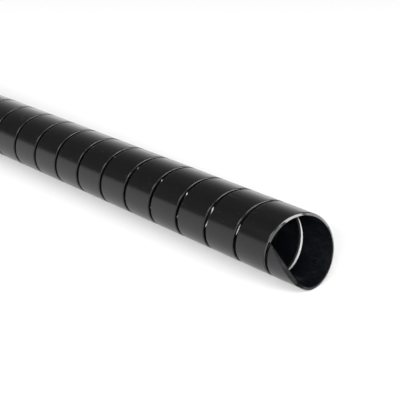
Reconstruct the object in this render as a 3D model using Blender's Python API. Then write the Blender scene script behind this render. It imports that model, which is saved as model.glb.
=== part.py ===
"""Spiral cable wrap: a length of thin black plastic tube, slit along a left-handed helix into one
flat strip, so that cables can be laid in through the slit.

The tube lies along X with its photographed end at +X. Z is up, the origin is in the middle of the
length, and the wrap rests on the plane z = 0. Everything is in metres, and angles are in degrees.
"""

import math

import bmesh
import bpy

# The extruded tube
OUTER_DIAMETER = 0.032
WALL = 0.0014
LENGTH = 1.0

# The strip that the slit leaves, both measured along the tube
STRIP_WIDTH = 0.0184
GAP = 0.002

# The slanting cut across the strip at the +X end. Angles run from the top towards -Y. The cut starts
# on the strip's rear edge, at one tip on the outside and one in the bore, and each of its two edges
# reaches furthest forward at its lean angle. The cut stops CORNER_STEP short of the front edge, and
# a torn step leads on to the corner.
OUTER_TIP_ANGLE = 72.0
OUTER_LEAN_ANGLE = 141.2
BORE_TIP_ANGLE = 75.0
BORE_LEAN_ANGLE = 126.4
CUT_END_ANGLE = 140.0
CORNER_ANGLE = 142.5
CORNER_STEP = 0.00315

# Flat facets stand in for the round tube. A multiple of four puts one of them straight down.
FACETS_PER_TURN = 24

PLASTIC_COLOUR = (0.012, 0.012, 0.014, 1.0)
PLASTIC_ROUGHNESS = 0.28

PITCH = STRIP_WIDTH + GAP
OUTER_RADIUS = OUTER_DIAMETER / 2
INNER_RADIUS = OUTER_RADIUS - WALL
FACET_ANGLE = 360 / FACETS_PER_TURN


def clear_scene():
    for obj in list(bpy.data.objects):
        bpy.data.objects.remove(obj, do_unlink=True)


def plastic_material():
    material = bpy.data.materials.new("black_polyethylene")
    material.use_nodes = True
    shader = material.node_tree.nodes["Principled BSDF"]
    shader.inputs["Base Color"].default_value = PLASTIC_COLOUR
    shader.inputs["Roughness"].default_value = PLASTIC_ROUGHNESS
    shader.inputs["Metallic"].default_value = 0.0
    return material


def rear_edge(angle):
    """Where the strip's rear edge lies along the tube, 0 at the top of the first turn."""
    return -PITCH * angle / 360


def full_edge(angle):
    """The front edge of the full strip."""
    return rear_edge(angle) + STRIP_WIDTH


def cut_edge(angle, tip_angle, lean_angle):
    """One edge of the slanting cut, which runs as the edge of a plane through the tube would."""
    tip = rear_edge(tip_angle)
    end = full_edge(CUT_END_ANGLE) - CORNER_STEP
    here, lowest, highest = (math.cos(math.radians(a - lean_angle)) for a in (angle, tip_angle, CUT_END_ANGLE))
    return tip + (end - tip) * (here - lowest) / (highest - lowest)


def front_edge(angle, tip_angle, lean_angle):
    """The strip's front edge: the slanting cut, the torn step, then the full strip."""
    if angle >= CORNER_ANGLE:
        return full_edge(angle)
    if angle <= CUT_END_ANGLE:
        return cut_edge(angle, tip_angle, lean_angle)
    return full_edge(angle) - CORNER_STEP * (CORNER_ANGLE - angle) / (CORNER_ANGLE - CUT_END_ANGLE)


def end_angle():
    """The angle at which the strip has reached LENGTH behind its foremost corner."""
    return (LENGTH - full_edge(CORNER_ANGLE)) * 360 / PITCH


def stations():
    """The angles of the strip's cross sections: every facet line, and half facets along the cut."""
    last = end_angle()
    angles = [OUTER_TIP_ANGLE, CUT_END_ANGLE, CORNER_ANGLE, last]
    half = FACET_ANGLE / 2
    index = math.ceil(OUTER_TIP_ANGLE / half)
    while index * half < last:
        angle = index * half
        on_facet_line = index % 2 == 1
        if on_facet_line or angle < CORNER_ANGLE:
            angles.append(angle)
        index += 1
    return sorted(set(angles))


def on_facet(angle, flat_radius):
    """The distance from the axis to the flat facet at this angle."""
    from_middle = (angle + FACET_ANGLE / 2) % FACET_ANGLE - FACET_ANGLE / 2
    return flat_radius / math.cos(math.radians(from_middle))


def add_section(bm, angle):
    """The strip's four corners at this angle: rear and front, outside and inside. Next to the tip the
    cut has taken the bore's side away, and the two inside corners meet on the rear face."""
    turn = math.radians(angle)
    rear = rear_edge(angle)
    outer, inner = on_facet(angle, OUTER_RADIUS), on_facet(angle, INNER_RADIUS)
    width = front_edge(angle, OUTER_TIP_ANGLE, OUTER_LEAN_ANGLE) - rear
    inner_width = front_edge(angle, BORE_TIP_ANGLE, BORE_LEAN_ANGLE) - rear
    if inner_width < 0:
        inner = outer - (outer - inner) * width / (width - inner_width)
        inner_width = 0.0
    corners = []
    for radius, across in ((outer, width), (inner, inner_width)):
        y = -radius * math.sin(turn)
        z = OUTER_RADIUS + radius * math.cos(turn)
        at_rear = bm.verts.new((rear, y, z))
        at_front = bm.verts.new((rear + across, y, z)) if across > 0 else at_rear
        corners.append((at_rear, at_front))
    return corners


def add_face(bm, *corners):
    distinct = list(dict.fromkeys(corners))
    if len(distinct) > 2:
        bm.faces.new(distinct)


def strip_mesh():
    bm = bmesh.new()
    sections = [add_section(bm, angle) for angle in stations()]
    for this, following in zip(sections, sections[1:]):
        (rear, front), (rear_in, front_in) = this
        (next_rear, next_front), (next_rear_in, next_front_in) = following
        add_face(bm, rear, front, next_front, next_rear)
        add_face(bm, rear_in, next_rear_in, next_front_in, front_in)
        add_face(bm, front, front_in, next_front_in, next_front)
        add_face(bm, rear, next_rear, next_rear_in, rear_in)
    (rear, front), (rear_in, front_in) = sections[-1]
    add_face(bm, rear, front, front_in, rear_in)
    bmesh.ops.remove_doubles(bm, verts=bm.verts, dist=0.000001)
    bmesh.ops.recalc_face_normals(bm, faces=bm.faces)
    along = [vert.co.x for vert in bm.verts]
    bmesh.ops.translate(bm, verts=bm.verts, vec=(-(min(along) + max(along)) / 2, 0, 0))
    mesh = bpy.data.meshes.new("spiral_strip")
    bm.to_mesh(mesh)
    bm.free()
    mesh.shade_smooth()
    mesh.set_sharp_from_angle(angle=math.radians(30))
    return mesh


def main():
    clear_scene()
    strip = bpy.data.objects.new("spiral_strip", strip_mesh())
    strip.data.materials.append(plastic_material())
    bpy.context.collection.objects.link(strip)


main()
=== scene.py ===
"""The looks of a spiral cable wrap: one glossy black extruded strip, wound left-handed with an open
slit between its turns, lying on a white studio floor. Sizes are in metres and angles in degrees."""

import math

import bpy
from bpy.props import FloatProperty, FloatVectorProperty, IntProperty, PointerProperty
from mathutils import Matrix, Vector


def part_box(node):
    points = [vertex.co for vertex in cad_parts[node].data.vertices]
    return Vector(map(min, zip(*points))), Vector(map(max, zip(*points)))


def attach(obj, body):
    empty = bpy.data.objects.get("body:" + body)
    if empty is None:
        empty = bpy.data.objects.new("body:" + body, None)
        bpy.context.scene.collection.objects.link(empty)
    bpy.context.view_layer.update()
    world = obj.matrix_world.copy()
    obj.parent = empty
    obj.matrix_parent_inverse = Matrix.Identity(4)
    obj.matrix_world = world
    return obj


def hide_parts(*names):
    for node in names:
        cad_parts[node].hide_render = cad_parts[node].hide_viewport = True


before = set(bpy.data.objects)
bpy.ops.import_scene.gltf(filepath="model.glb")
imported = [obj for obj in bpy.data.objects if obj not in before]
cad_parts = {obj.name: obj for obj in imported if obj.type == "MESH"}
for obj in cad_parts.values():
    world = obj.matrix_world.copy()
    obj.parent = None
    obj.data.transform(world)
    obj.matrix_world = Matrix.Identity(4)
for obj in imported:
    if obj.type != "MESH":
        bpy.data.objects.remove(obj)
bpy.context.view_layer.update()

bl_info = {
    "name": "Spiral cable wrap",
    "version": (1, 0, 0),
    "blender": (4, 5, 0),
    "location": "3D View > Sidebar > Cable wrap",
    "description": "Builds a spiral cable wrap with its plastic finish and a studio to show it in",
    "category": "Object",
}

NODE = "spiral_strip"
BODY = "root"
NODE_LOW, NODE_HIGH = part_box(NODE)
TUBE_LENGTH = NODE_HIGH.x - NODE_LOW.x
TUBE_RADIUS = (NODE_HIGH.z - NODE_LOW.z) / 2
AXIS_HEIGHT = (NODE_HIGH.z + NODE_LOW.z) / 2
CIRCUMFERENCE = 2 * math.pi * TUBE_RADIUS
NEAR_END = Vector((NODE_HIGH.x, 0, AXIS_HEIGHT))

# The materials on the strip, in the order of its material slots
SKIN, BORE, SLIT_EDGE, END_CUT = range(4)

# The section's roundings: their segments, and their largest radii as shares of its width and its wall
OUTER_SEGMENTS = 3
INNER_SEGMENTS = 2
ROUND_OF_WIDTH = 0.45
OUTER_ROUND_OF_WALL = 0.7
INNER_ROUND_OF_WALL = 0.2

# The narrow flats beside the roundings, which keep the shading of the wide faces even. In a small
# section they are this share of its width or its wall.
FACE_FLAT = 0.0002
EDGE_FLAT = 0.00005
FLAT_OF_SECTION = 0.04

# Cross sections at the near end: how much they crowd towards the tip of the slanting cut, and how many
# of them the torn step has
CUT_CROWDING = 1.3
STEPS_PER_TEAR = 4

# The knife's drag on the front edge, in degrees past the torn corner: it grows, stays full round the
# mouth, and fades before its end
DRAG_GROWS_OVER = 100
DRAG_FADES_OVER = 90
DRAG_END = 380

# On the outer rounding, the least drag of every turn, and the share of the rounding that it reaches
LEAST_DRAG = 0.75
DRAGGED_ROUNDING = 0.3

# Where two faces meet at more than this angle, their shading has a crease
CREASE_ANGLE = 50

# How much marks lighten the plastic, how much marks and dust dull it, how far its roughness varies
# from line to line, and the gloss of its dragged edge
MARK_LIGHTENING = 0.35
MARK_DULLING = 0.3
ROUGHNESS_STREAK = 0.03
POLISH_ROUGHNESS = 0.1
POLISH_IOR = 1.8

# The pale studio wall's direction, and the white that the camera sees in place of the studio
BACKDROP_DIRECTION = (-0.62, 0.78, 0.0)
SEEN_STRENGTH = 1.3
WHITE = (1.0, 1.0, 1.0, 1.0)

# The camera, found from the photograph's perspective. It looks along the photograph's direction at a
# point on the tube's axis, a little behind the foremost corner, which lies off the picture's middle.
PHOTO_WIDTH = 400
SENSOR_WIDTH = 36.0
FOCAL_PIXELS = 1164.1
CAMERA_AZIMUTH = 50.22
CAMERA_ELEVATION = 19.77
CAMERA_DISTANCE = 0.5027
AIM_BEHIND_CORNER = 0.0121
AIM_RIGHT_OF_MIDDLE = 0.04318
AIM_BELOW_MIDDLE = 0.02052
CLIP_START = 0.01
CLIP_END = 100.0

# The distance between neighbouring places in a node tree
NODE_SPACING = 200


class WrapShape(bpy.types.PropertyGroup):
    """The strip's own sizes. The tube's length and diameter come from the frame."""

    strip_width: FloatProperty(
        name="Strip width", description="Width of the strip, measured along the tube",
        default=0.0184, min=0.001, unit="LENGTH", precision=4)
    gap: FloatProperty(
        name="Gap", description="Open slit between two turns, measured along the tube",
        default=0.002, min=0.0001, unit="LENGTH", precision=4)
    wall: FloatProperty(
        name="Wall", description="Thickness of the plastic",
        default=0.0014, min=0.0002, unit="LENGTH", precision=4)
    front_round: FloatProperty(
        name="Front rounding", description="Radius of the front edge on the outside, where the knife drags",
        default=0.0004, min=0.00001, unit="LENGTH", precision=5)
    rear_round: FloatProperty(
        name="Rear rounding", description="Radius of the rear edge on the outside",
        default=0.0004, min=0.00001, unit="LENGTH", precision=5)
    inner_round: FloatProperty(
        name="Inner rounding", description="Radius of the strip's edges on the inside",
        default=0.00018, min=0.00001, unit="LENGTH", precision=5)
    slit_lean: FloatProperty(
        name="Slit lean", description="How far the front face leans forward into the bore round the mouth",
        default=0.0006, min=0.0, unit="LENGTH", precision=5)
    cut_round: FloatProperty(
        name="Cut rounding", description="Radius of the edges of the slanting cut",
        default=0.00012, min=0.00001, unit="LENGTH", precision=5)
    outer_tip_angle: FloatProperty(
        name="Outer tip angle",
        description="Where the slanting cut starts on the outside, from the top towards -Y",
        default=72.0)
    outer_lean_angle: FloatProperty(
        name="Outer lean angle", description="Where the outside edge of the cut reaches furthest forward",
        default=141.2)
    bore_tip_angle: FloatProperty(
        name="Bore tip angle",
        description="Where the slanting cut starts in the bore, from the top towards -Y",
        default=75.0)
    bore_lean_angle: FloatProperty(
        name="Bore lean angle", description="Where the bore edge of the cut reaches furthest forward",
        default=126.4)
    cut_end_angle: FloatProperty(
        name="Cut end angle", description="Where the slanting cut stops short of the front edge",
        default=140.0)
    corner_angle: FloatProperty(
        name="Corner angle", description="Where the torn corner reaches the front edge",
        default=142.5)
    corner_step: FloatProperty(
        name="Corner step", description="How far short of the front edge the slanting cut stops",
        default=0.00315, min=0.0, unit="LENGTH", precision=5)
    steps_per_turn: IntProperty(
        name="Steps per turn", description="Cross sections in one turn of the strip",
        default=84, min=12)
    steps_per_cut: IntProperty(
        name="Steps per cut", description="Cross sections along the slanting cut",
        default=40, min=4)


class WrapFinish(bpy.types.PropertyGroup):
    """The plastic's colours and gloss. The bore's and the slit's colours are darker than the skin: painted
    shade.
    """

    skin_colour: FloatVectorProperty(
        name="Skin colour", description="Colour of the extruded surface",
        default=(0.0045, 0.0045, 0.0047), size=3, min=0.0, max=1.0, subtype="COLOR")
    # Darker and bluer than the skin, though the bore is the same plastic: painted shade inside the tube
    bore_shade_colour: FloatVectorProperty(
        name="Bore colour", description="Colour of the inside of the tube",
        default=(0.0015, 0.002, 0.0032), size=3, min=0.0, max=1.0, subtype="COLOR")
    # Darker than the skin, though the slit's faces are the same plastic: painted shade in the slit
    slit_shade_colour: FloatVectorProperty(
        name="Slit colour", description="Colour of the two faces of the slit",
        default=(0.002, 0.002, 0.0022), size=3, min=0.0, max=1.0, subtype="COLOR")
    dust_colour: FloatVectorProperty(
        name="Dust colour", description="Colour of the fine dust and scuffs",
        default=(0.11, 0.11, 0.115), size=3, min=0.0, max=1.0, subtype="COLOR")
    cut_colour: FloatVectorProperty(
        name="Cut colour", description="Colour of the freshly cut plastic",
        default=(0.008, 0.008, 0.0085), size=3, min=0.0, max=1.0, subtype="COLOR")
    skin_roughness: FloatProperty(
        name="Skin roughness", description="Roughness of the extruded surface",
        default=0.22, min=0.0, max=1.0, subtype="FACTOR")
    bore_roughness: FloatProperty(
        name="Bore roughness", description="Roughness of the inside of the tube",
        default=0.3, min=0.0, max=1.0, subtype="FACTOR")
    slit_roughness: FloatProperty(
        name="Slit roughness", description="Roughness of the two faces of the slit",
        default=0.26, min=0.0, max=1.0, subtype="FACTOR")
    cut_roughness: FloatProperty(
        name="Cut roughness", description="Roughness of the cuts across the strip's ends",
        default=0.32, min=0.0, max=1.0, subtype="FACTOR")


class WrapStage(bpy.types.PropertyGroup):
    """The floor and the lights."""

    floor_size: FloatProperty(
        name="Floor size", description="Side of the square floor",
        default=40.0, min=1.0, unit="LENGTH")
    floor_colour: FloatVectorProperty(
        name="Floor colour", description="Colour of the matte floor",
        default=(0.86, 0.86, 0.86), size=3, min=0.0, max=1.0, subtype="COLOR")
    overhead_strength: FloatProperty(
        name="Overhead light", description="Strength of the broad light from above",
        default=1.3, min=0.0)
    near_side_strength: FloatProperty(
        name="Near side light", description="Strength of the low light from the camera's side",
        default=3.0, min=0.0)
    strip_light_power: FloatProperty(
        name="Strip light", description="Power of the long softbox beside the wrap, in watts",
        default=13.0, min=0.0)
    softbox_power: FloatProperty(
        name="Softbox", description="Power of the softbox in front of the near end, in watts",
        default=8.5, min=0.0)
    side_softbox_power: FloatProperty(
        name="Side softbox", description="Power of the softbox on the far side, in watts",
        default=3.0, min=0.0)
    backdrop_strength: FloatProperty(
        name="Backdrop", description="Brightness of the pale studio wall behind the wrap",
        default=1.75, min=0.0)
    studio_strength: FloatProperty(
        name="Studio", description="Brightness of the dim studio on the other sides",
        default=0.09, min=0.0)


# The edges along the tube

def rear_edge(shape, angle):
    """Where the strip's rear edge lies along the tube, counted from the top of the first turn."""
    return -(shape.strip_width + shape.gap) * angle / 360


def full_edge(shape, angle):
    """The front edge of the full strip."""
    return rear_edge(shape, angle) + shape.strip_width


def cut_edge(shape, angle, tip_angle, lean_angle):
    """One edge of the slanting cut, which runs as the edge of a plane through the tube would."""
    tip = rear_edge(shape, tip_angle)
    end = full_edge(shape, shape.cut_end_angle) - shape.corner_step
    turns = (angle, tip_angle, shape.cut_end_angle)
    here, lowest, highest = (math.cos(math.radians(turn - lean_angle)) for turn in turns)
    return tip + (end - tip) * (here - lowest) / (highest - lowest)


def front_edge(shape, angle, tip_angle, lean_angle):
    """The front edge: the slanting cut, the torn step, then the full strip."""
    if angle >= shape.corner_angle:
        return full_edge(shape, angle)
    if angle <= shape.cut_end_angle:
        return cut_edge(shape, angle, tip_angle, lean_angle)
    torn = (shape.corner_angle - angle) / (shape.corner_angle - shape.cut_end_angle)
    return full_edge(shape, angle) - shape.corner_step * torn


def dragged_share(shape, angle):
    """How much the knife dragged the front edge at this angle, 0 to 1."""
    past = angle - shape.corner_angle
    return max(0.0, min(past / DRAG_GROWS_OVER, 1.0, (DRAG_END - past) / DRAG_FADES_OVER))


# The strip's cross section

def section_angles(shape):
    """Angles of the cross sections: close together along the slanting cut, then evenly to the far end."""
    tip, cut_end, corner = shape.outer_tip_angle, shape.cut_end_angle, shape.corner_angle
    angles = []
    for index in range(1, shape.steps_per_cut):
        share = index / shape.steps_per_cut
        angles.append(tip + (cut_end - tip) * share ** CUT_CROWDING)
    angles += [cut_end + (corner - cut_end) * index / STEPS_PER_TEAR for index in range(STEPS_PER_TEAR)]
    pitch = shape.strip_width + shape.gap
    last = (TUBE_LENGTH - full_edge(shape, corner)) * 360 / pitch
    steps = math.ceil((last - corner) * shape.steps_per_turn / 360)
    angles += [corner + (last - corner) * index / steps for index in range(steps + 1)]
    return angles


def quarter_round(centre_across, centre_depth, radius, start, end, segments):
    """Points of a quarter circle in the section. Angle 0 points to the front, 90 to the outside."""
    points = []
    for index in range(segments + 1):
        turn = math.radians(start + (end - start) * index / segments)
        points.append((centre_across + radius * math.cos(turn), centre_depth - radius * math.sin(turn)))
    return points


def section_outline(width, wall, slant, rear_out, front_out, rear_in, front_in):
    """The strip's cross section as a loop of (across, depth): across from the rear edge to the front
    edge, and depth from the outside to the bore. The front face falls back by slant on its way to the
    bore, or leans forward where slant is negative. The width and the wall limit the roundings."""
    inner_width = width - slant
    largest = min(width * ROUND_OF_WIDTH, wall * OUTER_ROUND_OF_WALL)
    largest_in = min(inner_width * ROUND_OF_WIDTH, wall * INNER_ROUND_OF_WALL)
    rear_out, front_out = min(rear_out, largest), min(front_out, largest)
    rear_in, front_in = min(rear_in, largest_in), min(front_in, largest_in)
    flat, inner_flat = (min(FACE_FLAT, across * FLAT_OF_SECTION) for across in (width, inner_width))
    edge_flat = min(EDGE_FLAT, wall * FLAT_OF_SECTION)
    front = [(width - front_out - flat, 0.0)]
    front += quarter_round(width - front_out, front_out, front_out, 90, 0, OUTER_SEGMENTS)
    front += [(width, front_out + edge_flat), (width, wall - front_in - edge_flat)]
    front += quarter_round(width - front_in, wall - front_in, front_in, 0, -90, INNER_SEGMENTS)
    front += [(width - front_in - inner_flat, wall)]
    rear = [(rear_in + inner_flat, wall)]
    rear += quarter_round(rear_in, wall - rear_in, rear_in, -90, -180, INNER_SEGMENTS)
    rear += [(0.0, wall - rear_in - edge_flat), (0.0, rear_out + edge_flat)]
    rear += quarter_round(rear_out, rear_out, rear_out, 180, 90, OUTER_SEGMENTS)
    slanted = [(across - slant * depth / wall, depth) for across, depth in front]
    return [(rear_out + flat, 0.0), (width / 2, 0.0)] + slanted + rear


def section_at(shape, angle):
    """The strip's width at this angle, and its cross section. Next to the tip, the cut has taken the
    bore's side away, and the section is a wedge that is thinner than the wall."""
    rear = rear_edge(shape, angle)
    width = front_edge(shape, angle, shape.outer_tip_angle, shape.outer_lean_angle) - rear
    inner_width = front_edge(shape, angle, shape.bore_tip_angle, shape.bore_lean_angle) - rear
    wall = shape.wall
    if inner_width < 0:
        wall, inner_width = wall * width / (width - inner_width), 0.0
    front_out, front_in = shape.front_round, shape.inner_round
    if angle < shape.corner_angle:
        front_out = front_in = shape.cut_round
    slant = width - inner_width - shape.slit_lean * dragged_share(shape, angle)
    rear_out, rear_in = shape.rear_round, shape.inner_round
    return width, section_outline(width, wall, slant, rear_out, front_out, rear_in, front_in)


def section_materials(front_material):
    """The material of the face that follows each point of the section's loop."""
    outside, inside = (END_CUT, END_CUT) if front_material == END_CUT else (SKIN, BORE)
    front = [outside] * OUTER_SEGMENTS + [front_material] * 3 + [inside] * INNER_SEGMENTS
    rear = [BORE] * (3 + INNER_SEGMENTS) + [SLIT_EDGE] * 3 + [SKIN] * (OUTER_SEGMENTS + 1)
    return [SKIN] * 3 + front + rear


def knife_drag(shape, angle, from_front, depth):
    """How much the knife dragged one point: only the front face and the rounding beside it count."""
    if angle <= shape.corner_angle or from_front >= DRAGGED_ROUNDING * shape.front_round:
        return 0.0
    least = LEAST_DRAG if depth <= shape.front_round else 0.0
    return max(least, dragged_share(shape, angle))


# The strip's mesh

def lengths_round(loop):
    """How far round the section each of its points lies, and the length of the whole loop."""
    lengths = [0.0]
    for this, following in zip(loop, loop[1:] + loop[:1]):
        lengths.append(lengths[-1] + math.dist(this, following))
    return lengths


def strip_faces(shape, angles, loops):
    """The faces between neighbouring sections, their materials and the UVs of their corners: u runs
    round the tube and v round the section, both in metres."""
    count = len(loops[0])
    faces, materials, uvs = [], [], []
    for index in range(len(angles) - 1):
        kinds = section_materials(END_CUT if angles[index] < shape.cut_end_angle else SLIT_EDGE)
        here, there = index * count, (index + 1) * count
        u, next_u = (angle * CIRCUMFERENCE / 360 for angle in angles[index:index + 2])
        v, next_v = (lengths_round(loop) for loop in loops[index:index + 2])
        for point in range(count):
            after = (point + 1) % count
            faces.append((here + point, there + point, there + after, here + after))
            materials.append(kinds[point])
            uvs += [(u, v[point]), (next_u, next_v[point])]
            uvs += [(next_u, next_v[point + 1]), (u, v[point + 1])]
    return faces, materials, uvs


def strip_mesh(shape):
    """Sweeps the section along the helix and closes both ends. Each vertex also stores how far it is
    from an edge, and how much the knife dragged it."""
    angles = section_angles(shape)
    shift = NODE_HIGH.x - full_edge(shape, shape.corner_angle)
    vertices, distances, dragged, loops = [], [], [], []
    for angle in angles:
        turn = math.radians(angle)
        rear = rear_edge(shape, angle)
        width, loop = section_at(shape, angle)
        to_far_end = (angles[-1] - angle) * CIRCUMFERENCE / 360
        for across, depth in loop:
            radius = TUBE_RADIUS - depth
            y, z = -radius * math.sin(turn), AXIS_HEIGHT + radius * math.cos(turn)
            vertices.append((rear + across + shift, y, z))
            distances.append(min(across, width - across, to_far_end))
            dragged.append(knife_drag(shape, angle, width - across, depth))
        loops.append(loop)

    faces, materials, uvs = strip_faces(shape, angles, loops)
    count = len(loops[0])
    last = len(vertices) - count
    for cap in (list(range(count)), [last + point for point in reversed(range(count))]):
        faces.append(cap)
        materials.append(END_CUT)
        uvs += [(vertices[corner][1], vertices[corner][2]) for corner in cap]

    mesh = bpy.data.meshes.new(NODE + "_skin")
    mesh.from_pydata(vertices, [], faces)
    mesh.polygons.foreach_set("material_index", materials)
    layer = mesh.uv_layers.new(name="strip")
    layer.data.foreach_set("uv", [value for uv in uvs for value in uv])
    for label, values in (("edge_distance", distances), ("dragged_edge", dragged)):
        stored = mesh.attributes.new(label, "FLOAT", "POINT")
        stored.data.foreach_set("value", values)
    mesh.shade_smooth()
    mesh.set_sharp_from_angle(angle=math.radians(CREASE_ANGLE))
    mesh.validate()
    return mesh


# Node trees

def add_node(tree, kind, place, **settings):
    made = tree.nodes.new(kind)
    made.location = (place[0] * NODE_SPACING, -place[1] * NODE_SPACING)
    for name, value in settings.items():
        setattr(made, name, value)
    return made


def feed(tree, node, **inputs):
    """Sets a node's inputs by name, with _ for a space, or by number, as i0. A socket is linked, and
    anything else is the input's value."""
    for name, value in inputs.items():
        key = int(name[1:]) if name[1:].isdigit() else name.replace("_", " ")
        if isinstance(value, bpy.types.NodeSocket):
            tree.links.new(value, node.inputs[key])
        else:
            node.inputs[key].default_value = value
    return node


def value_math(tree, operation, place, first, second=0.0, clamp=False):
    made = add_node(tree, "ShaderNodeMath", place, operation=operation, use_clamp=clamp)
    return feed(tree, made, i0=first, i1=second).outputs[0]


def spread(tree, place, value, low, high, to_low=0.0, to_high=1.0):
    """Maps the stretch from low to high onto the stretch from to_low to to_high, with soft ends."""
    made = add_node(tree, "ShaderNodeMapRange", place, interpolation_type="SMOOTHSTEP")
    feed(tree, made, Value=value, From_Min=low, From_Max=high, To_Min=to_low, To_Max=to_high)
    return made.outputs["Result"]


def noise(tree, place, vector, scale, detail=2.0, roughness=0.5):
    made = add_node(tree, "ShaderNodeTexNoise", place)
    feed(tree, made, Vector=vector, Scale=scale, Detail=detail, Roughness=roughness)
    return made.outputs["Fac"]


def blend_colours(tree, place, mask, under, over):
    made = add_node(tree, "ShaderNodeMix", place, data_type="RGBA")
    feed(tree, made, i0=mask, i6=under, i7=over)
    return made.outputs[2]


def new_group(name, inputs, outputs):
    """An empty shader group with float inputs and outputs, and its input and output nodes."""
    tree = bpy.data.node_groups.new(name, "ShaderNodeTree")
    for label, default in inputs.items():
        socket = tree.interface.new_socket(label, in_out="INPUT", socket_type="NodeSocketFloat")
        socket.default_value = default
    for label in outputs:
        tree.interface.new_socket(label, in_out="OUTPUT", socket_type="NodeSocketFloat")
    return tree, add_node(tree, "NodeGroupInput", (0, 0)), add_node(tree, "NodeGroupOutput", (8, 0))


def stretched_object_vector(tree, place, stretch, turn=0.0):
    """Object coordinates, squeezed along the tube so that a texture on them runs lengthways."""
    coordinates = add_node(tree, "ShaderNodeTexCoord", place)
    mapping = add_node(tree, "ShaderNodeMapping", (place[0] + 1, place[1]))
    feed(tree, mapping, Vector=coordinates.outputs["Object"], Scale=(stretch, 1.0, 1.0))
    feed(tree, mapping, Rotation=(0.0, 0.0, math.radians(turn)))
    return mapping.outputs["Vector"]


# The plastic's effects

def extrusion_lines_group():
    """Fine lines that the die leaves along the tube, and the slow waves of its wall."""
    inputs = {"Lines per metre": 1400.0, "Waves per metre": 55.0}
    tree, given, result = new_group("extrusion_lines", inputs, ["Lines", "Waves"])
    drawn = stretched_object_vector(tree, (1, 0), stretch=0.02)
    lines = noise(tree, (4, 0), drawn, given.outputs["Lines per metre"], detail=3.0, roughness=0.6)
    wavy = stretched_object_vector(tree, (1, 2), stretch=0.5)
    waves = noise(tree, (4, 2), wavy, given.outputs["Waves per metre"], detail=1.0)
    feed(tree, result, Lines=lines, Waves=waves)
    return tree


def dust_group():
    """Sparse specks of dust: a few cells of a cell pattern hold a speck near their middle."""
    inputs = {"Cells per metre": 700.0, "Share": 0.1, "Speck": 0.12}
    tree, given, result = new_group("dust", inputs, ["Mask"])
    coordinates = add_node(tree, "ShaderNodeTexCoord", (1, 0))
    cells = add_node(tree, "ShaderNodeTexVoronoi", (3, 0))
    feed(tree, cells, Vector=coordinates.outputs["Object"], Scale=given.outputs["Cells per metre"])
    edge = value_math(tree, "SUBTRACT", (4, 0), given.outputs["Speck"], cells.outputs["Distance"])
    inside = spread(tree, (5, 0), edge, low=0.0, high=0.04)
    chance = add_node(tree, "ShaderNodeSeparateColor", (4, 1))
    feed(tree, chance, Color=cells.outputs["Color"])
    chosen = value_math(tree, "LESS_THAN", (5, 1), chance.outputs[0], given.outputs["Share"])
    feed(tree, result, Mask=value_math(tree, "MULTIPLY", (6, 0), inside, chosen))
    return tree


def scuffs_group():
    """Hair-thin rub marks that run roughly lengthways, in patches."""
    inputs = {"Marks per metre": 420.0, "Patches per metre": 60.0, "Amount": 0.5}
    tree, given, result = new_group("scuffs", inputs, ["Mask"])
    slanted = stretched_object_vector(tree, (1, 0), stretch=0.05, turn=12.0)
    ridges = noise(tree, (4, 0), slanted, given.outputs["Marks per metre"], detail=2.0)
    offset = value_math(tree, "ABSOLUTE", (5, 0), value_math(tree, "SUBTRACT", (4, 1), ridges, 0.5))
    thin = spread(tree, (6, 0), offset, low=0.0, high=0.012, to_low=1.0, to_high=0.0)
    broad = stretched_object_vector(tree, (1, 2), stretch=0.6)
    patches = noise(tree, (4, 2), broad, given.outputs["Patches per metre"], detail=3.0)
    there = spread(tree, (6, 2), patches, low=0.55, high=0.7)
    both = value_math(tree, "MULTIPLY", (7, 0), thin, there)
    feed(tree, result, Mask=value_math(tree, "MULTIPLY", (7, 1), both, given.outputs["Amount"]))
    return tree


def edge_wear_group():
    """Rubbed edges: strongest on the edge itself, and broken up by a fine noise."""
    inputs = {"Reach": 0.0006, "Flecks per metre": 900.0, "Amount": 0.5}
    tree, given, result = new_group("edge_wear", inputs, ["Mask"])
    stored = add_node(tree, "ShaderNodeAttribute", (1, 0), attribute_name="edge_distance")
    share = value_math(tree, "DIVIDE", (2, 0), stored.outputs["Fac"], given.outputs["Reach"])
    near = spread(tree, (3, 0), share, low=0.0, high=1.0, to_low=1.0, to_high=0.0)
    even = stretched_object_vector(tree, (1, 1), stretch=1.0)
    broken = noise(tree, (4, 1), even, given.outputs["Flecks per metre"], detail=3.0, roughness=0.65)
    rubbed = spread(tree, (5, 1), broken, low=0.42, high=0.68)
    both = value_math(tree, "MULTIPLY", (6, 0), near, rubbed)
    feed(tree, result, Mask=value_math(tree, "MULTIPLY", (7, 0), both, given.outputs["Amount"]))
    return tree


def edge_polish_group():
    """The front edge past the corner, which the slitting knife drags round and glossy."""
    tree, given, result = new_group("edge_polish", {"Amount": 1.0}, ["Mask"])
    stored = add_node(tree, "ShaderNodeAttribute", (1, 0), attribute_name="dragged_edge")
    dragged = spread(tree, (3, 0), stored.outputs["Fac"], low=0.3, high=1.0)
    feed(tree, result, Mask=value_math(tree, "MULTIPLY", (5, 0), dragged, given.outputs["Amount"]))
    return tree


def knife_marks_group():
    """Drag marks that the slitting knife leaves along the strip's edges."""
    tree, given, result = new_group("knife_marks", {"Marks per metre": 5200.0}, ["Marks"])
    strip = add_node(tree, "ShaderNodeUVMap", (1, 0), uv_map="strip")
    drawn = add_node(tree, "ShaderNodeMapping", (2, 0))
    feed(tree, drawn, Vector=strip.outputs["UV"], Scale=(0.03, 1.0, 1.0))
    marks = noise(tree, (4, 0), drawn.outputs["Vector"], given.outputs["Marks per metre"], detail=3.0)
    feed(tree, result, Marks=marks)
    return tree


# The plastic

def place_group(tree, place, group, **inputs):
    made = add_node(tree, "ShaderNodeGroup", place, node_tree=group)
    return feed(tree, made, **inputs)


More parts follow.
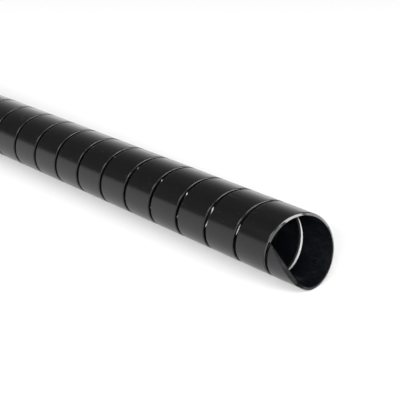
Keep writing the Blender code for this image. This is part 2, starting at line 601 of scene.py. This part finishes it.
def plastic(name, colour, dust_colour, roughness, groups,
            specular=0.28, lines=0.0, waves=0.0, marks=0.0, wear=0.0, dust=0.0, polish=0.0):
    """One finish of the black plastic. The last six values say how strong each effect is."""
    material = bpy.data.materials.new(name)
    material.use_nodes = True
    tree = material.node_tree
    shader = tree.nodes["Principled BSDF"]
    shader.location = (11 * NODE_SPACING, 0)
    tree.nodes["Material Output"].location = (13 * NODE_SPACING, 0)
    drawn = place_group(tree, (1, 0), groups["extrusion_lines"])
    cut = place_group(tree, (1, 1), groups["knife_marks"])
    specks = place_group(tree, (1, 2), groups["dust"])
    rubs = place_group(tree, (1, 3), groups["scuffs"])
    worn = place_group(tree, (1, 4), groups["edge_wear"])
    polished = place_group(tree, (1, 5), groups["edge_polish"], Amount=polish)

    pale = value_math(tree, "MULTIPLY", (3, 2), specks.outputs["Mask"], dust)
    rubbed = value_math(tree, "MULTIPLY", (3, 4), worn.outputs["Mask"], wear)
    scuffed = value_math(tree, "MULTIPLY", (3, 3), rubs.outputs["Mask"], wear)
    marked = value_math(tree, "ADD", (4, 3), scuffed, rubbed, clamp=True)
    faint = value_math(tree, "MULTIPLY", (4, 4), marked, MARK_LIGHTENING)
    lightened = value_math(tree, "MAXIMUM", (5, 2), pale, faint)
    shade = blend_colours(tree, (7, 0), lightened, (*colour, 1.0), (*dust_colour, 1.0))
    feed(tree, shader, Base_Color=shade)

    pattern = drawn.outputs["Lines"]
    smoothest, dullest = roughness - ROUGHNESS_STREAK, roughness + ROUGHNESS_STREAK
    streaky = spread(tree, (3, 0), pattern, low=0.3, high=0.7, to_low=smoothest, to_high=dullest)
    touched = value_math(tree, "MAXIMUM", (4, 1), marked, pale)
    duller = value_math(tree, "MULTIPLY", (5, 1), touched, MARK_DULLING)
    feed(tree, shader, Roughness=value_math(tree, "ADD", (7, 1), streaky, duller, clamp=True))

    feed(tree, shader, Coat_Weight=polished.outputs["Mask"])
    feed(tree, shader, Coat_Roughness=POLISH_ROUGHNESS, Coat_IOR=POLISH_IOR, Specular_IOR_Level=specular)

    height = value_math(tree, "MULTIPLY", (3, 5), pattern, lines)
    for place, source, amount in ((5, drawn.outputs["Waves"], waves), (6, cut.outputs["Marks"], marks)):
        scaled = value_math(tree, "MULTIPLY", (place, 5), source, amount)
        height = value_math(tree, "ADD", (place, 6), height, scaled)
    bump = add_node(tree, "ShaderNodeBump", (9, 4))
    feed(tree, bump, Height=height, Distance=1.0)
    feed(tree, shader, Normal=bump.outputs["Normal"])
    return material


def strip_materials(finish):
    groups = {
        "extrusion_lines": extrusion_lines_group(),
        "knife_marks": knife_marks_group(),
        "dust": dust_group(),
        "scuffs": scuffs_group(),
        "edge_wear": edge_wear_group(),
        "edge_polish": edge_polish_group(),
    }
    dust = finish.dust_colour
    return [
        plastic("outer_skin", finish.skin_colour, dust, finish.skin_roughness, groups,
                lines=0.0000012, waves=0.00003, wear=0.7, dust=0.5, polish=1.0),
        # The bore and the slit take colours darker than the skin: painted shade
        plastic("bore_skin", finish.bore_shade_colour, dust, finish.bore_roughness, groups,
                lines=0.000002, waves=0.00004, wear=0.3, dust=0.2),
        plastic("slit_edge", finish.slit_shade_colour, dust, finish.slit_roughness, groups,
                specular=0.12, marks=0.00001, wear=0.2, polish=1.0),
        plastic("end_cut", finish.cut_colour, dust, finish.cut_roughness, groups,
                specular=0.12, marks=0.00001, wear=0.3),
    ]


# The studio

def add_floor(stage):
    half = stage.floor_size / 2
    corners = [(-half, -half, 0), (half, -half, 0), (half, half, 0), (-half, half, 0)]
    mesh = bpy.data.meshes.new("floor")
    mesh.from_pydata(corners, [], [(0, 1, 2, 3)])
    floor = bpy.data.objects.new("studio_floor", mesh)
    bpy.context.scene.collection.objects.link(floor)
    material = bpy.data.materials.new("matte_floor")
    material.use_nodes = True
    shader = material.node_tree.nodes["Principled BSDF"]
    colour = (*stage.floor_colour, 1.0)
    feed(material.node_tree, shader, Base_Color=colour, Roughness=0.9, Specular_IOR_Level=0.2)
    mesh.materials.append(material)


def add_light(name, kind, place, **settings):
    """A light that aims at the wrap's near end, with its place counted from there."""
    data = bpy.data.lights.new(name, kind)
    for key, value in settings.items():
        setattr(data, key, value)
    light = bpy.data.objects.new(name, data)
    location = NEAR_END + Vector(place)
    light.location = location
    light.rotation_euler = (NEAR_END - location).to_track_quat("-Z", "Y").to_euler()
    bpy.context.scene.collection.objects.link(light)
    return light


def add_sun(name, place, strength, softness):
    """A broad sun: its softness is how many degrees wide it looks."""
    return add_light(name, "SUN", place, energy=strength, angle=math.radians(softness))


def add_softbox(name, place, power, width, height):
    return add_light(name, "AREA", place, energy=power, shape="RECTANGLE", size=width, size_y=height)


def add_lights(stage):
    add_sun("overhead", (0.3, 0.06, 1.0), stage.overhead_strength, softness=110)
    low = add_sun("near_side", (0.62, -0.7, 0.33), stage.near_side_strength, softness=25)
    low.visible_glossy = False
    add_softbox("strip_light", (-0.05, -1.05, 0.48), stage.strip_light_power, width=1.2, height=0.3)
    add_softbox("softbox", (0.94, 0.03, 0.38), stage.softbox_power, width=0.7, height=0.6)
    add_softbox("side_softbox", (0.62, 0.78, 0.28), stage.side_softbox_power, width=0.8, height=0.5)


def add_world(stage):
    """A dim studio with a pale wall behind the wrap. Only reflections see it: the camera sees white."""
    world = bpy.data.worlds.new("studio")
    bpy.context.scene.world = world
    world.use_nodes = True
    tree = world.node_tree
    tree.nodes.clear()
    coordinates = add_node(tree, "ShaderNodeTexCoord", (0, 0))
    towards = add_node(tree, "ShaderNodeVectorMath", (1, 0), operation="DOT_PRODUCT")
    feed(tree, towards, i0=coordinates.outputs["Generated"], i1=BACKDROP_DIRECTION)
    aside = spread(tree, (2, 0), towards.outputs["Value"], low=0.3, high=1.0)
    parts = add_node(tree, "ShaderNodeSeparateXYZ", (1, 1))
    feed(tree, parts, Vector=coordinates.outputs["Generated"])
    below = spread(tree, (2, 1), parts.outputs["Z"], low=0.0, high=0.85, to_low=1.0, to_high=0.0)
    wall = value_math(tree, "MULTIPLY", (3, 0), aside, below)
    lit = value_math(tree, "MULTIPLY", (4, 0), wall, stage.backdrop_strength)
    strength = value_math(tree, "ADD", (5, 0), lit, stage.studio_strength)
    studio = add_node(tree, "ShaderNodeBackground", (6, 0))
    feed(tree, studio, Color=WHITE, Strength=strength)
    plain = add_node(tree, "ShaderNodeBackground", (6, 1))
    feed(tree, plain, Color=WHITE, Strength=SEEN_STRENGTH)
    seen = add_node(tree, "ShaderNodeLightPath", (6, -2))
    mixed = add_node(tree, "ShaderNodeMixShader", (7, 0))
    feed(tree, mixed, i0=seen.outputs["Is Camera Ray"], i1=studio.outputs[0], i2=plain.outputs[0])
    output = add_node(tree, "ShaderNodeOutputWorld", (8, 0))
    feed(tree, output, Surface=mixed.outputs[0])


def add_camera():
    data = bpy.data.cameras.new("photo_camera")
    data.sensor_width = SENSOR_WIDTH
    data.lens = SENSOR_WIDTH * FOCAL_PIXELS / PHOTO_WIDTH
    data.clip_start, data.clip_end = CLIP_START, CLIP_END
    camera = bpy.data.objects.new("photo_camera", data)
    turn = math.radians(CAMERA_AZIMUTH)
    tilt = math.radians(90 - CAMERA_ELEVATION)
    rotation = Matrix.Rotation(turn, 3, "Z") @ Matrix.Rotation(tilt, 3, "X")
    aim = Vector((NODE_HIGH.x - AIM_BEHIND_CORNER, 0.0, AXIS_HEIGHT))
    offset = Vector((-AIM_RIGHT_OF_MIDDLE, AIM_BELOW_MIDDLE, CAMERA_DISTANCE))
    camera.location = aim + rotation @ offset
    camera.rotation_euler = rotation.to_euler()
    bpy.context.scene.collection.objects.link(camera)
    bpy.context.scene.camera = camera


# The add-on

class CABLEWRAP_OT_strip(bpy.types.Operator):
    """Build the wound strip with its plastic finish, in place of the plain one"""

    bl_idname = "cablewrap.strip"
    bl_label = "Build strip"

    def execute(self, context):
        mesh = strip_mesh(context.scene.wrap_shape)
        for material in strip_materials(context.scene.wrap_finish):
            mesh.materials.append(material)
        strip = bpy.data.objects.new("wound_strip", mesh)
        context.scene.collection.objects.link(strip)
        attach(strip, BODY)
        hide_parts(NODE)
        return {"FINISHED"}


class CABLEWRAP_OT_stage(bpy.types.Operator):
    """Set up the floor, the lights and the camera"""

    bl_idname = "cablewrap.stage"
    bl_label = "Set up stage"

    def execute(self, context):
        stage = context.scene.wrap_stage
        add_floor(stage)
        add_lights(stage)
        add_world(stage)
        add_camera()
        context.scene.view_settings.view_transform = "Standard"
        return {"FINISHED"}


class CABLEWRAP_PT_panel(bpy.types.Panel):
    """The wrap's sizes, finish and stage, with a button for each step"""

    bl_idname = "CABLEWRAP_PT_panel"
    bl_label = "Spiral cable wrap"
    bl_space_type = "VIEW_3D"
    bl_region_type = "UI"
    bl_category = "Cable wrap"

    def draw(self, context):
        scene = context.scene
        for title, settings in (
            ("Shape", scene.wrap_shape),
            ("Finish", scene.wrap_finish),
            ("Stage", scene.wrap_stage),
        ):
            box = self.layout.box()
            box.label(text=title)
            for name in settings.__annotations__:
                box.prop(settings, name)
        self.layout.operator(CABLEWRAP_OT_strip.bl_idname)
        self.layout.operator(CABLEWRAP_OT_stage.bl_idname)


CLASSES = (WrapShape, WrapFinish, WrapStage, CABLEWRAP_OT_strip, CABLEWRAP_OT_stage, CABLEWRAP_PT_panel)
SETTINGS = {"wrap_shape": WrapShape, "wrap_finish": WrapFinish, "wrap_stage": WrapStage}


def register():
    for cls in CLASSES:
        bpy.utils.register_class(cls)
    for name, group in SETTINGS.items():
        setattr(bpy.types.Scene, name, PointerProperty(type=group))


def unregister():
    for name in SETTINGS:
        delattr(bpy.types.Scene, name)
    for cls in reversed(CLASSES):
        bpy.utils.unregister_class(cls)


def main():
    register()
    bpy.ops.cablewrap.strip()
    bpy.ops.cablewrap.stage()


if __name__ == "__main__":
    main()
